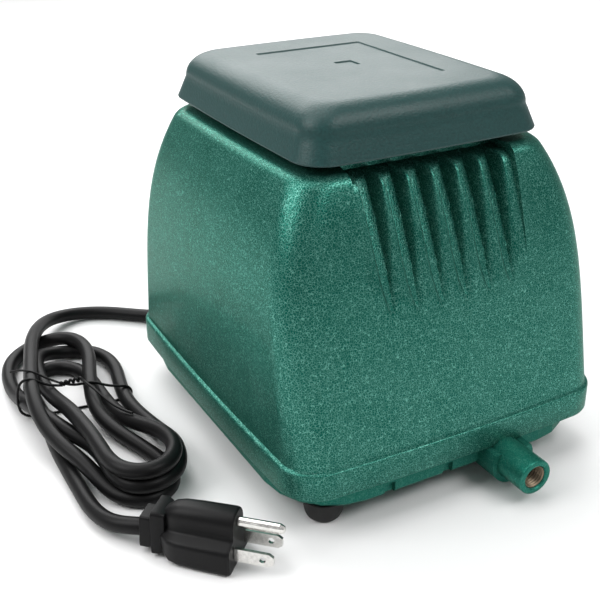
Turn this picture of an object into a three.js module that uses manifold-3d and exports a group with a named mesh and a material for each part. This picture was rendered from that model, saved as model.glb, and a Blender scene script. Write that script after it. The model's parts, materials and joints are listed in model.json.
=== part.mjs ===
// Diaphragm air pump: domed cast housing with a louvred front, lift-off filter cover, cast base
// with an outlet tube and rubber feet, the linear motor inside, and a mains cord tied in a hank.
// Millimetres, +Z up, the louvred front faces -Y, the floor is z = 0.
import * as THREE from 'three';
import { mergeVertices } from 'three/addons/utils/BufferGeometryUtils.js';
import Module from 'manifold-3d';

const wasm = await Module();
wasm.setup();

const gap = 0.3; // left between pieces that touch

// Housing
const flangeWidth = 174;
const flangeLength = 195;
const flangeRadius = 18.8;
const wallRadius = 16;
const sideBow = 1.5; // each side swells this much in the middle
const skirtBottom = 20.5;
const ridgeHeight = 34;
const housingTop = 153;
const housingWall = 3;
const ledgeInset = 8;
const ledgeHeight = 34.6;
const topPlate = 3.5;
const topEdgeRadius = 4;

// Outlet tube in the front of the base
const outletX = 24.1;
const outletZ = 14.8;
const outletReach = 22.4;
const outletRadius = 8.7;

// Origin: bottom centre of the box around the pump, outlet tube included
const centreY = outletReach / 2;
const frontY = centreY - flangeLength / 2;
const backY = centreY + flangeLength / 2;

// Louvres: five ridges between six grooves, in a recess that deepens towards the top
const ridgePitch = 12.8;
const ridgeTipWidth = 4;
const recessHalf = 42;
const recessBottom = 95;
const recessTop = 149.5;
const recessDepth = 10;
const grooveDepth = 8;

// Filter cover
const coverRim = 157.3;
const coverTop = 180.3;
const coverWidth = 125.3;
const coverLength = 148.8;
const coverY = centreY + 9.7;
const coverWall = 2.5;
const coverShoulder = 11.1;
const coverDraft = 3.85;
const coverRound = 13.1;

// Filter well on top of the housing
const wellHalf = 48;
const wellFront = centreY - 42;
const wellBack = centreY + 68;
const wellTop = 168;

// Base casting
const baseBottom = 10.5;
const baseFloor = 14;
const baseTop = 32.7;
const baseInset = 4.5;
const baseRadius = 34;
const baseWall = 3.5;
const chamber = { left: -48, right: 42, front: centreY - 84, back: centreY + 84, top: 30 };
const chamberWall = 3;

// Feet: the front right one stands further in, beside the outlet
const feet = [
  ['front_left', -62.8, centreY - 78.6],
  ['front_right', 52, centreY - 68],
  ['back_left', -62.8, centreY + 78.6],
  ['back_right', 62.8, centreY + 78.6],
];

// Motor
const motorY = centreY + 4;
const motorZ = 76;
const frameBottom = 43;
const framePlate = 3;
const stackHalf = 15;
const diaphragmAt = 49.3; // distance of each diaphragm from the motor's middle

// Cord, plug and hank
const cordRadius = 3.9;
const lying = cordRadius + 0.3; // height of the cord's middle where it lies on the floor
const glandX = -40;
const glandZ = 21;
const hank = { x: -130, y: 72, length: 172, width: 54, bottom: 1.6, top: 20 };
const plugFace = new THREE.Vector3(-109.5, -77, 8);
const plugYaw = THREE.MathUtils.degToRad(-44.5);
const plugLength = 44;

const materials = {
  hammer_green: [0x1c6450, 0.35, 0.3],
  outlet_green: [0x1f7a60, 0.35, 0.3],
  base_green: [0x3a6b5c, 0.5, 0.2],
  cover_plastic: [0x24443f, 0.75, 0],
  rubber: [0x151515, 0.85, 0],
  filter_felt: [0xd9d6cc, 0.95, 0],
  aluminium: [0x9aa0a3, 0.45, 0.9],
  steel: [0x8a8d90, 0.4, 1],
  brass: [0x9a8450, 0.4, 1],
  core_steel: [0x55585c, 0.5, 0.8],
  coil_tape: [0xb86a2c, 0.6, 0.1],
  magnet: [0x2d2d30, 0.5, 0.3],
  black_plastic: [0x1a1a1a, 0.6, 0],
  cord_black: [0x161616, 0.55, 0],
  nickel: [0xc8c8c4, 0.25, 1],
};

const group = new THREE.Group();

function add(name, geometry, slot) {
  const [color, roughness, metalness] = materials[slot];
  const material = new THREE.MeshStandardMaterial({ color, roughness, metalness });
  const mesh = new THREE.Mesh(geometry, material);
  mesh.name = name;
  group.add(mesh);
}

// ---- shape helpers ----

function solid(geometry) {
  const bare = geometry.index ? geometry.clone() : geometry;
  bare.deleteAttribute('normal');
  bare.deleteAttribute('uv');
  const merged = mergeVertices(bare, 1e-5);
  const vertProperties = new Float32Array(merged.attributes.position.array);
  const triVerts = new Uint32Array(merged.index.array);
  return new wasm.Manifold(new wasm.Mesh({ numProp: 3, vertProperties, triVerts }));
}

function geometryOf(body) {
  const mesh = body.getMesh();
  const geometry = new THREE.BufferGeometry();
  geometry.setAttribute('position', new THREE.Float32BufferAttribute(mesh.vertProperties, 3));
  geometry.setIndex(Array.from(mesh.triVerts));
  geometry.computeVertexNormals();
  return geometry;
}

function box(x0, x1, y0, y1, z0, z1) {
  const geometry = new THREE.BoxGeometry(x1 - x0, y1 - y0, z1 - z0);
  geometry.translate((x0 + x1) / 2, (y0 + y1) / 2, (z0 + z1) / 2);
  return geometry;
}

// Turned piece about a vertical axis from a profile of [radius, height] pairs
function turned(profile, x, y, z = 0, segments = 20) {
  const points = profile.map(([r, h]) => new THREE.Vector2(r, h));
  const geometry = new THREE.LatheGeometry(points, segments);
  geometry.rotateX(Math.PI / 2);
  geometry.translate(x, y, z);
  return geometry;
}

// The same about an axis along Y, heights running towards +Y
function turnedY(profile, x, y, z, segments = 20) {
  const points = profile.map(([r, h]) => new THREE.Vector2(r, h));
  const geometry = new THREE.LatheGeometry(points, segments);
  geometry.translate(x, y, z);
  return geometry;
}

function rod(radius, from, to) {
  return [[0, from], [radius, from], [radius, to], [0, to]];
}

function sleeve(inner, outer, from, to) {
  return [[inner, from], [outer, from], [outer, to], [inner, to], [inner, from]];
}

// Plan outline of a box with round corners and sides that swell by bow
function plan(halfX, y0, y1, radius, bow = 0, cornerSteps = 5, sideSteps = 3) {
  const points = [];
  const insetX = halfX - bow;
  const low = y0 + bow;
  const high = y1 - bow;
  const corners = [
    [insetX - radius, high - radius, 0],
    [-insetX + radius, high - radius, 1],
    [-insetX + radius, low + radius, 2],
    [insetX - radius, low + radius, 3],
  ];
  corners.forEach(([cx, cy, quarter], index) => {
    for (let step = 0; step <= cornerSteps; step += 1) {
      const angle = (quarter + step / cornerSteps) * (Math.PI / 2);
      points.push([cx + radius * Math.cos(angle), cy + radius * Math.sin(angle)]);
    }
    if (bow === 0) return;
    const [fromX, fromY] = points[points.length - 1];
    const [nx, ny] = corners[(index + 1) % 4];
    const turn = (quarter + 1) * (Math.PI / 2);
    const toX = nx + radius * Math.cos(turn);
    const toY = ny + radius * Math.sin(turn);
    for (let step = 1; step <= sideSteps; step += 1) {
      const along = step / (sideSteps + 1);
      const swell = bow * (1 - (2 * along - 1) ** 2);
      points.push([
        fromX + (toX - fromX) * along + swell * Math.cos(turn),
        fromY + (toY - fromY) * along + swell * Math.sin(turn),
      ]);
    }
  });
  return points;
}

// Closed skin over rings of equal point count; each ring is a list of Vector3
function skin(rings) {
  const count = rings[0].length;
  const positions = rings.flat().flatMap((p) => [p.x, p.y, p.z]);
  const index = [];
  for (let ring = 0; ring < rings.length - 1; ring += 1) {
    for (let i = 0; i < count; i += 1) {
      const a = ring * count + i;
      const b = ring * count + ((i + 1) % count);
      index.push(a, b, b + count, a, b + count, a + count);
    }
  }
  const last = (rings.length - 1) * count;
  for (let i = 1; i < count - 1; i += 1) {
    index.push(0, i + 1, i);
    index.push(last, last + i, last + i + 1);
  }
  const geometry = new THREE.BufferGeometry();
  geometry.setAttribute('position', new THREE.Float32BufferAttribute(positions, 3));
  geometry.setIndex(index);
  geometry.computeVertexNormals();
  return geometry;
}

// Stack of plan outlines, each given as [z, halfX, y0, y1, radius, bow]
function stack(levels) {
  return skin(levels.map(([z, halfX, y0, y1, radius, bow]) =>
    plan(halfX, y0, y1, radius, bow).map(([x, y]) => new THREE.Vector3(x, y, z))));
}

function outlineShape(points) {
  return new THREE.Shape(points.map(([x, y]) => new THREE.Vector2(x, y)));
}

function extruded(shape, depth, curveSegments = 6) {
  return new THREE.ExtrudeGeometry(shape, { depth, bevelEnabled: false, curveSegments });
}

// Round tube along a smooth curve
function tube(points, radius, steps, sides) {
  const path = new THREE.CatmullRomCurve3(points.map(([x, y, z]) => new THREE.Vector3(x, y, z)));
  const circle = [];
  for (let i = 0; i < sides; i += 1) {
    const angle = (i / sides) * Math.PI * 2;
    circle.push([radius * Math.cos(angle), radius * Math.sin(angle)]);
  }
  return new THREE.ExtrudeGeometry(outlineShape(circle), { steps, extrudePath: path });
}

// ---- housing ----

// How far the housing wall stands in from the flange at a height, on the sides, front and back
function wallInset(z) {
  const rise = Math.min(Math.max((z - ridgeHeight) / (housingTop - ridgeHeight), 0), 1);
  return {
    side: 2 + 1.0 * rise + 18.7 * rise ** 4.3,
    front: 2 + 23.4 * rise + 7.5 * rise ** 4.5,
    back: 2 + 10.6 * rise + 4.1 * rise ** 1.5,
  };
}

function housingLevel(z, extra = 0) {
  const inset = wallInset(z);
  return [
    z,
    flangeWidth / 2 - inset.side - extra,
    frontY + inset.front + extra,
    backY - inset.back - extra,
    wallRadius - 0.3 * extra,
    sideBow,
  ];
}

function flangeLevel(z, inset) {
  return [z, flangeWidth / 2 - inset, frontY + inset, backY - inset, flangeRadius - 0.5 * inset, sideBow];
}

function outerHousing() {
  const levels = [flangeLevel(skirtBottom, 0.8), flangeLevel(skirtBottom + 0.8, 0)];
  levels.push(flangeLevel(ridgeHeight - 1.2, 0), flangeLevel(ridgeHeight - 0.3, 0.4));
  levels.push(flangeLevel(ridgeHeight, 1.2));
  [34.8, 52, 70, 86, 100, 112, 122, 131, 138.5, 144.5].forEach((z) => levels.push(housingLevel(z)));
  for (let step = 0; step <= 3; step += 1) {
    const angle = (step / 3) * (Math.PI / 2);
    const z = housingTop - topEdgeRadius * (1 - Math.sin(angle));
    levels.push(housingLevel(z, topEdgeRadius * (1 - Math.cos(angle))));
  }
  return solid(stack(levels));
}

// Hollow of the housing; its front slopes in behind the louvres
function innerHousing() {
  const skirtInset = housingWall;
  const levels = [flangeLevel(skirtBottom - 1, skirtInset), flangeLevel(ledgeHeight, skirtInset)];
  const ceiling = housingTop - topPlate;
  [ledgeHeight, 60, 90, 110, 128, 140, ceiling].forEach((z) => {
    const inset = wallInset(z);
    const behindLouvres = Math.max(0, z - 90) * 0.33;
    const side = Math.max(ledgeInset, inset.side + housingWall);
    const front = Math.max(ledgeInset, inset.front + housingWall) + behindLouvres;
    const back = Math.max(ledgeInset, inset.back + housingWall);
    levels.push([z, flangeWidth / 2 - side, frontY + front, backY - back, 13, sideBow]);
  });
  return solid(stack(levels));
}

// Front-to-back position of the ridge crests at a height
const crestFoot = frontY + wallInset(recessBottom).front;
const crestHead = frontY + wallInset(housingTop).front + recessDepth;

function crestY(z) {
  return crestFoot + (crestHead - crestFoot) * ((z - recessBottom) / (housingTop - recessBottom));
}

function recessCut() {
  const back = centreY - 48;
  const side = [
    [frontY - 5, recessBottom],
    [crestFoot, recessBottom],
    [crestY(recessTop), recessTop],
    [back, recessTop],
    [back, housingTop + 5],
    [frontY - 5, housingTop + 5],
  ];
  const geometry = extruded(outlineShape(side), 2 * recessHalf);
  geometry.rotateX(Math.PI / 2);
  geometry.rotateZ(Math.PI / 2);
  geometry.translate(-recessHalf, 0, 0);
  return solid(geometry);
}

// One wedge-shaped groove between two ridges, running out to a point at the bottom
function grooveCut(x) {
  const headZ = housingTop + 5;
  const footZ = recessBottom + 1.5;
  const ring = (z, width, depth) => {
    const y = crestY(z);
    const half = width / 2;
    return [
      new THREE.Vector3(x - half - 0.5, y - 1.5, z),
      new THREE.Vector3(x + half + 0.5, y - 1.5, z),
      new THREE.Vector3(x + 0.35 * half, y + depth, z),
      new THREE.Vector3(x - 0.35 * half, y + depth, z),
    ];
  };
  return solid(skin([ring(footZ, 1, 0.3), ring(headZ, ridgePitch - ridgeTipWidth, grooveDepth)]));
}

function makeHousing() {
  let body = outerHousing().subtract(innerHousing());
  const wellOuter = stack([
    [housingTop - 1, wellHalf, wellFront, wellBack, 8, 0],
    [wellTop, wellHalf, wellFront, wellBack, 8, 0],
  ]);
  const wellInner = stack([
    [housingTop, wellHalf - 3, wellFront + 3, wellBack - 3, 6, 0],
    [wellTop + 1, wellHalf - 3, wellFront + 3, wellBack - 3, 6, 0],
  ]);
  body = body.add(solid(wellOuter).subtract(solid(wellInner)));
  body = body.subtract(recessCut());
  for (const side of [-1, 1]) {
    for (const step of [0.5, 1.5, 2.5]) {
      body = body.subtract(grooveCut(side * step * ridgePitch));
    }
  }
  // air slots into the motor space
  for (const x of [-22, 22]) {
    for (let row = 0; row < 4; row += 1) {
      const y = wellFront + 22 + row * 22;
      body = body.subtract(solid(box(x - 15, x + 15, y - 3, y + 3, housingTop - 6, housingTop + 1)));
    }
  }
  // clearance in the skirt over the outlet tube and the cord gland
  const overOutlet = turnedY(rod(outletRadius + 0.6, -10, 8), outletX, frontY, outletZ);
  const overGland = turnedY(rod(8, -8, 10), glandX, backY, glandZ);
  body = body.subtract(solid(overOutlet)).subtract(solid(overGland));
  // posts that take the long foot screws
  feet.forEach(([, x, y]) => {
    const out = Math.sign(x) * 80;
    const post = box(Math.min(x - 6, out), Math.max(x + 6, out), y - 5, y + 5, ledgeHeight, 52);
    const bore = turned(rod(2.4, ledgeHeight - 1, 49), x, y, 0, 10);
    body = body.add(solid(post)).subtract(solid(bore));
  });
  return geometryOf(body);
}

// ---- filter cover ----

function coverLevel(z, inset) {
  return [
    z,
    coverWidth / 2 - inset,
    coverY - coverLength / 2 + inset,
    coverY + coverLength / 2 - inset,
    Math.max(14.7 - 0.35 * inset, 5),
    0.8,
  ];
}

function coverShell(shrink, rim, top) {
  const shoulder = coverRim + coverShoulder;
  const levels = [coverLevel(rim, shrink), coverLevel(shoulder, coverDraft + shrink)];
  for (let step = 1; step <= 5; step += 1) {
    const angle = (step / 5) * (Math.PI / 2);
    const inset = coverDraft + shrink + (coverRound - shrink) * (1 - Math.cos(angle));
    levels.push(coverLevel(shoulder + (top - shoulder) * Math.sin(angle), inset));
  }
  return solid(stack(levels));
}

function makeCover() {
  let body = coverShell(0, coverRim, coverTop);
  body = body.subtract(coverShell(coverWall, coverRim - 1, coverTop - coverWall));
  const panel = [29.3, coverY - 37.8, coverY + 37.8];
  body = body.subtract(solid(box(-panel[0], panel[0], panel[1], panel[2], coverTop - 0.6, coverTop + 1)));
  const mark = 4.6;
  body = body.subtract(solid(box(-mark, mark, coverY - mark, coverY + mark, coverTop - 1.2, coverTop + 1)));
  // pegs that stand on the rim of the filter well
  for (const x of [-wellHalf + 4, wellHalf - 4]) {
    for (const y of [wellFront + 20, wellBack - 20]) {
      body = body.add(solid(box(x - 4, x + 4, y - 4, y + 4, wellTop + gap, coverTop - coverWall + 0.5)));
    }
  }
  return geometryOf(body);
}

// ---- base casting ----

function baseLevel(z, inset, radius) {
  return [z, flangeWidth / 2 - inset, frontY + inset, backY - inset, radius, 0];
}

function makeBase() {
  let body = solid(stack([
    baseLevel(baseBottom, baseInset + 1.2, baseRadius - 1),
    baseLevel(baseBottom + 1.5, baseInset, baseRadius),
    baseLevel(baseTop, baseInset, baseRadius),
  ]));
  const hollow = baseInset + baseWall;
  body = body.subtract(solid(stack([
    baseLevel(baseFloor, hollow, baseRadius - baseWall),
    baseLevel(baseTop + 1, hollow, baseRadius - baseWall),
  ])));
  // air chamber wall standing on the floor
  const { left, right, front, back, top } = chamber;
  const chamberOuter = solid(box(left, right, front, back, baseFloor - 1, top));
  const chamberInner = box(
    left + chamberWall, right - chamberWall, front + chamberWall, back - chamberWall, baseFloor, top + 1);
  body = body.add(chamberOuter.subtract(solid(chamberInner)));
  // pillars under the rubber isolators, and screw bosses over the feet
  isolatorSpots().forEach(([, x, y]) => {
    body = body.add(solid(turned(rod(6.5, baseFloor - 1, 31), x, y, 0, 16)));
  });
  feet.forEach(([, x, y]) => {
    body = body.add(solid(turned(rod(6.2, baseBottom + 0.5, baseTop), x, y, 0, 16)));
  });
  // outlet boss: it reaches forward under the skirt and back into the chamber
  const bossFront = frontY - 6.5;
  const boss = turnedY(rod(11.7, 0, 20), outletX, bossFront, outletZ, 28);
  const flat = box(outletX - 14, outletX + 14, bossFront - 1, frontY + 4, skirtBottom - gap, 30);
  body = body.add(solid(boss).subtract(solid(flat)));
  body = body.add(solid(turnedY(rod(8.4, 0, 17), outletX, frontY + 5, outletZ, 20)));
  body = body.subtract(solid(turnedY(rod(outletRadius + gap, -1, 11), outletX, bossFront, outletZ, 24)));
  body = body.subtract(solid(turnedY(rod(5.5, 5, 40), outletX, bossFront, outletZ, 16)));
  // two slots in the front lower edge, the hole for the cord gland and the screw bores
  for (const x of [-36.7, -5]) {
    const slot = box(x - 2.8, x + 2.8, frontY - 1, frontY + 7, baseBottom - 1, baseBottom + 6);
    body = body.subtract(solid(slot));
  }
  body = body.subtract(solid(turnedY(rod(5.5, -10, 10), glandX, backY - 6, glandZ, 16)));
  feet.forEach(([, x, y]) => {
    body = body.subtract(solid(turned(rod(2.4, baseBottom - 1, baseTop + 1), x, y, 0, 10)));
  });
  return geometryOf(body);
}

function isolatorSpots() {
  return [
    ['front_left', -64, motorY - 32],
    ['front_right', 64, motorY - 32],
    ['back_left', -64, motorY + 32],
    ['back_right', 64, motorY + 32],
  ];
}

function makeGasket() {
  const outer = solid(stack([baseLevel(33, 5, 30), baseLevel(34.3, 5, 30)]));
  const inner = solid(stack([baseLevel(32, 7.6, 28), baseLevel(35, 7.6, 28)]));
  return geometryOf(outer.subtract(inner));
}

// ---- small turned pieces ----

function makeFoot(x, y) {
  const profile = [
    [2.4, 10.2], [2.4, 4.5], [4.2, 4.5], [4.2, 0], [6.4, 0], [7.6, 0.9], [8.6, 3], [9.2, 6.2], [9.2, 10.2],
    [2.4, 10.2],
  ];
  return turned(profile, x, y, 0, 16);
}

function makeFootScrew(x, y) {
  const profile = [[0, 1.2], [3.2, 1.2], [3.7, 2], [3.7, 4.2], [2.1, 4.2], [2.1, 46], [0, 48]];
  return turned(profile, x, y, 0, 8);
}

function makeIsolator(x, y) {
  const profile = [[0, 31.3], [7, 31.3], [7, 34], [5, 37], [7, 40], [7, 42.7], [0, 42.7]];
  return turned(profile, x, y, 0, 12);
}

function makeOutlet() {
  const end = frontY - outletReach;
  const length = frontY + 3.7 - end;
  const profile = [
    [5.6, 0.5], [6.1, 0], [8.3, 0], [outletRadius, 0.5], [outletRadius, length], [5.6, length], [5.6, 0.5],
  ];
  return turnedY(profile, outletX, end, outletZ, 32);
}

function makeOutletThread() {
  return turnedY(sleeve(4.8, 5.3, 1, 19), outletX, frontY - outletReach, outletZ, 24);
}

function makeGland() {
  const wall = backY - baseInset;
  const bore = cordRadius + 0.3;
  const profile = [
    [bore, -6], [6.6, -6], [6.6, -baseWall - gap], [5.1, -baseWall - gap], [5.1, gap], [7.2, gap],
    [7.2, 2.3], [6, baseInset], [bore, baseInset], [bore, -6],
  ];
  return turnedY(profile, glandX, wall, glandZ, 20);
}

// ---- motor ----

function makeChamberLid() {
  const { left, right, front, back } = chamber;
  let body = solid(box(left, right, front, back, 30.3, 33.3));
  for (const side of [-1, 1]) {
    const y = motorY + side * 69.8;
    body = body.add(solid(turned(rod(4.2, 33, 38), 0, y, 0, 16)));
    body = body.subtract(solid(turned(rod(2.9, 29, 39), 0, y, 0, 12)));
  }
  return geometryOf(body);
}

function makeFrame() {
  const top = frameBottom + framePlate;
  let body = solid(box(-62, 62, motorY - 46, motorY + 46, frameBottom, top));
  body = body.add(solid(box(-71, 71, motorY - 39, motorY - 25, frameBottom, top)));
  body = body.add(solid(box(-71, 71, motorY + 25, motorY + 39, frameBottom, top)));
  for (const side of [-1, 1]) {
    const saddle = [side * 49, side * 62].sort((a, b) => a - b);
    const seat = motorZ - stackHalf - gap;
    body = body.add(solid(box(saddle[0], saddle[1], motorY - 40, motorY + 40, frameBottom, seat)));
    const wallStart = motorY + (side > 0 ? 46 : -49);
    const wall = solid(box(-33, 33, wallStart, wallStart + 3, frameBottom, motorZ + 30));
    const hole = turnedY(rod(24, -60, 60), 0, motorY, motorZ, 28);
    body = body.add(wall.subtract(solid(hole)));
  }
  return geometryOf(body);
}

// E-shaped stack of laminations, legs pointing at the armature
function makeCore(side) {
  const outline = [
    [62, -42], [62, 42], [13, 42], [13, 30], [48, 30], [48, 10], [13, 10], [13, -10], [48, -10], [48, -30],
    [13, -30], [13, -42],
  ];
  const points = outline.map(([x, y]) => [side * x, motorY + y]);
  if (side < 0) points.reverse();
  const geometry = extruded(outlineShape(points), 2 * stackHalf);
  geometry.translate(0, 0, motorZ - stackHalf);
  return geometry;
}

function makeCoil(side) {
  const start = side > 0 ? 15 : -46;
  const ring = (x, halfY, halfZ, radius) =>
    plan(halfY, -halfZ, halfZ, radius, 0).map(([a, b]) => new THREE.Vector3(x, motorY + a, motorZ + b));
  const outer = solid(skin([ring(start, 28, 28.5, 9), ring(start + 31, 28, 28.5, 9)]));
  const inner = solid(skin([ring(start - 1, 10.5, 15.5, 1), ring(start + 32, 10.5, 15.5, 1)]));
  return geometryOf(outer.subtract(inner));
}

function makeArmatureRod() {
  const profile = [
    [0, -60], [4, -60], [4, -48.9], [8, -48.9], [8, -45], [4, -45], [4, 45], [8, 45], [8, 48.9], [4, 48.9],
    [4, 60], [0, 60],
  ];
  return turnedY(profile, 0, motorY, motorZ, 16);
}

function makeMagnet(side) {
  const middle = motorY + side * 20;
  const block = solid(box(-10, 10, middle - 8, middle + 8, motorZ - 14, motorZ + 14));
  return geometryOf(block.subtract(solid(turnedY(rod(4.3, -10, 10), 0, middle, motorZ, 16))));
}

// A turned piece on the rod, its profile measured outwards from the motor's middle
function onRod(profile, side, segments = 24) {
  const ordered = side > 0 ? profile : profile.map(([r, h]) => [r, -h]).reverse();
  return turnedY(ordered, 0, motorY, motorZ, segments);
}

function makeRodNut(side) {
  const hexagon = solid(onRod(rod(7, 53.9, 58.9), side, 6));
  return geometryOf(hexagon.subtract(solid(onRod(rod(4.3, 53, 60), side, 16))));
}

function makeValveBox(side) {
  const at = (distance) => motorY + side * distance;
  const span = (a, b) => [Math.min(at(a), at(b)), Math.max(at(a), at(b))];
  const slab = (x0, x1, a, b, z0, z1) => solid(box(x0, x1, ...span(a, b), z0, z1));
  const ring = (distance) =>
    plan(30, -28, 28, 6, 0, 3).map(([a, b]) => new THREE.Vector3(a, at(distance), motorZ + b));
  const ends = side > 0 ? [73, 51.6] : [51.6, 73];
  let body = solid(skin(ends.map(ring)));
  body = body.subtract(solid(onRod(rod(24, 50, 63.6), side, 28)));
  for (const up of [-1, 1]) {
    const port = turnedY(rod(4, -10, 10), 0, at(66), motorZ + up * 14, 12);
    const low = motorZ + (up > 0 ? 4 : -24);
    body = body.subtract(solid(port)).subtract(slab(-16, 16, 66.6, 74, low, low + 20));
  }
  body = body.subtract(slab(-8, 8, 68, 72, motorZ + 20, motorZ + 30));
  body = body.add(solid(turned(rod(4.2, 39, motorZ - 27), 0, at(69.8), 0, 16)));
  return geometryOf(body.subtract(solid(turned(rod(2.9, 38, motorZ - 20), 0, at(69.8), 0, 12))));
}

function makeValveCover(side) {
  const inner = motorY + side * 73.3;
  const outer = motorY + side * 75.3;
  return box(-28, 28, Math.min(inner, outer), Math.max(inner, outer), motorZ - 26, motorZ + 26);
}

// Flap over the intake port (inside the pumping chamber) or the exhaust port (outside it)
function makeFlap(side, intake) {
  const near = intake ? 62.3 : 66.9;
  const a = motorY + side * near;
  const b = motorY + side * (near + 1);
  const bottom = intake ? motorZ + 8 : motorZ - 21;
  return box(-7, 7, Math.min(a, b), Math.max(a, b), bottom, bottom + 13);
}

function makeHose(side) {
  return turned(sleeve(4.5, 7, 33.6, motorZ - 28 - gap), 0, motorY + side * 69.8, 0, 16);
}

// Lead from the terminal block, up past the motor frame to the back of the left coil
function makeCoilWire(x) {
  const points = [
    [x, centreY + 57, 27.3], [x, centreY + 56, 42], [x + 3, centreY + 52, 70], [x + 14, centreY + 49, 96],
    [x + 27, motorY + 36, 101], [x + 31, motorY + 29, 98],
  ];
  return tube(points, 1.1, 14, 6);
}

// ---- cord, plug and hank ----

const hankEnd = hank.length / 2 - hank.width / 2;
const hankTip = hank.y + hank.length / 2;

function makeLead() {
  const points = [
    [glandX, backY + 0.3, glandZ], [glandX - 1, backY + 12, 17.5], [glandX - 9, backY + 24, 8],
    [-64, backY + 35, lying], [-79, backY + 50, lying], [-90, backY + 64, lying],
    [-103, backY + 70, lying], [-116, backY + 68, 5], [-125, backY + 60, 8.5],
    [-127, hankTip + 5, 10], [-127, hankTip + gap, 10],
  ];
  return tube(points, cordRadius, 24, 8);
}

function makeHank() {
  const radius = hank.width / 2;
  const shape = new THREE.Shape();
  shape.absarc(0, hankEnd, radius, 0, Math.PI, false);
  shape.absarc(0, -hankEnd, radius, Math.PI, 2 * Math.PI, false);
  shape.closePath();
  const geometry = extruded(shape, hank.top - hank.bottom, 10);
  geometry.translate(hank.x, hank.y, hank.bottom);
  return geometry;
}

function makeTie() {
  const half = hank.width / 2 + gap;
  const { x, y, bottom, top } = hank;
  const inner = box(x - half, x + half, y - 5, y + 5, bottom - gap, top + gap);
  const outer = box(x - half - 1, x + half + 1, y - 1.5, y + 1.5, bottom - gap - 1, top + gap + 1);
  return geometryOf(solid(outer).subtract(solid(inner)));
}

// Plug space: x runs towards the blade tips, y across the blades, z up to the ground pin
function placePlug(geometry) {
  geometry.rotateZ(plugYaw);
  geometry.translate(plugFace.x, plugFace.y, plugFace.z);
  return geometry;
}

function plugRing(along, halfWidth, low, high, radius) {
  return plan(halfWidth, low, high, radius, 0, 3).map(([a, b]) => new THREE.Vector3(along, a, b));
}

function makePlugBody() {
  const rings = [
    plugRing(-plugLength, 5, -4, 6, 3),
    plugRing(-34, 6.5, -5, 9, 4),
    plugRing(-33, 9, -7, 13, 4),
    plugRing(-25, 12, -7.9, 16, 5),
    plugRing(-6, 13.3, -7.9, 17.5, 5),
    plugRing(0, 13.3, -7.9, 17.5, 5),
  ];
  return placePlug(skin(rings));
}

function makeBlade(side) {
  const across = side * 6.35;
  const tip = 17.5;
  const shape = outlineShape([
    [gap, -3.17], [tip - 2, -3.17], [tip, -1.8], [tip, 1.8], [tip - 2, 3.17], [gap, 3.17],
  ]);
  const hole = new THREE.Path();
  hole.absarc(tip - 5, 0, 1.6, 0, 2 * Math.PI, true);
  shape.holes.push(hole);
  const geometry = extruded(shape, 1.5, 5);
  geometry.rotateX(Math.PI / 2);
  geometry.translate(0, across + 0.75, 0);
  return placePlug(geometry);
}

function makeGroundPin() {
  const geometry = turnedY([[0, gap], [2.4, gap], [2.4, 18.5], [1.5, 20.4], [0, 21]], 0, 0, 0, 12);
  geometry.rotateZ(-Math.PI / 2);
  geometry.translate(0, 0, 11.9);
  return placePlug(geometry);
}

function makeTail() {
  const behindPlug = (distance) => {
    const point = new THREE.Vector3(-plugLength - distance, 0, 1);
    return point.applyAxisAngle(new THREE.Vector3(0, 0, 1), plugYaw).add(plugFace).toArray();
  };
  const startX = hank.x - 0.6 * (hank.width / 2 + gap);
  const startY = hank.y - hankEnd - 0.8 * (hank.width / 2 + gap);
  const points = [
    [startX - 0.6, startY - 0.8, 6], [-151, -17, 4.2], [-154, -27, 4.2], behindPlug(6), behindPlug(gap),
  ];
  return tube(points, cordRadius - 0.2, 12, 8);
}

// ---- assembly ----

add('upper_housing', makeHousing(), 'hammer_green');
add('filter_cover', makeCover(), 'cover_plastic');
const padFront = wellFront + 3 + 0.6;
const padBack = wellBack - 3 - 0.6;
const pad = [wellHalf - 3.6, padFront, padBack, 5, 0];
add('filter_pad', stack([[housingTop + gap, ...pad], [housingTop + 13, ...pad]]), 'filter_felt');
add('base_casting', makeBase(), 'base_green');
add('housing_gasket', makeGasket(), 'rubber');
add('outlet_tube', makeOutlet(), 'outlet_green');
add('outlet_thread', makeOutletThread(), 'brass');
feet.forEach(([where, x, y]) => {
  add(`foot_${where}`, makeFoot(x, y), 'rubber');
  add(`foot_screw_${where}`, makeFootScrew(x, y), 'steel');
});
add('cord_gland', makeGland(), 'rubber');
add('chamber_lid', makeChamberLid(), 'aluminium');
isolatorSpots().forEach(([where, x, y]) => add(`isolator_${where}`, makeIsolator(x, y), 'rubber'));
add('motor_frame', makeFrame(), 'aluminium');
for (const [where, side] of [['left', -1], ['right', 1]]) {
  add(`stator_core_${where}`, makeCore(side), 'core_steel');
  add(`coil_${where}`, makeCoil(side), 'coil_tape');
}
add('armature_rod', makeArmatureRod(), 'aluminium');
for (const [where, side] of [['front', -1], ['back', 1]]) {
  add(`magnet_${where}`, makeMagnet(side), 'magnet');
  add(`diaphragm_${where}`, onRod(sleeve(4.3, 28, diaphragmAt, diaphragmAt + 2), side, 28), 'rubber');
  add(`clamp_plate_${where}`, onRod(sleeve(4.3, 16, 51.6, 53.6), side, 20), 'steel');
  add(`rod_nut_${where}`, makeRodNut(side), 'steel');
  add(`valve_box_${where}`, makeValveBox(side), 'aluminium');
  add(`valve_cover_${where}`, makeValveCover(side), 'aluminium');
  add(`intake_flap_${where}`, makeFlap(side, true), 'rubber');
  add(`exhaust_flap_${where}`, makeFlap(side, false), 'rubber');
  add(`air_hose_${where}`, makeHose(side), 'rubber');
}
add('terminal_block', box(-73, -59, centreY + 48, centreY + 66, baseFloor + gap, 27), 'black_plastic');
add('coil_wire_outer', makeCoilWire(-69), 'cord_black');
add('coil_wire_inner', makeCoilWire(-61), 'cord_black');
add('cord_lead', makeLead(), 'cord_black');
add('cord_hank', makeHank(), 'cord_black');
add('cord_tie', makeTie(), 'cord_black');
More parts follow.
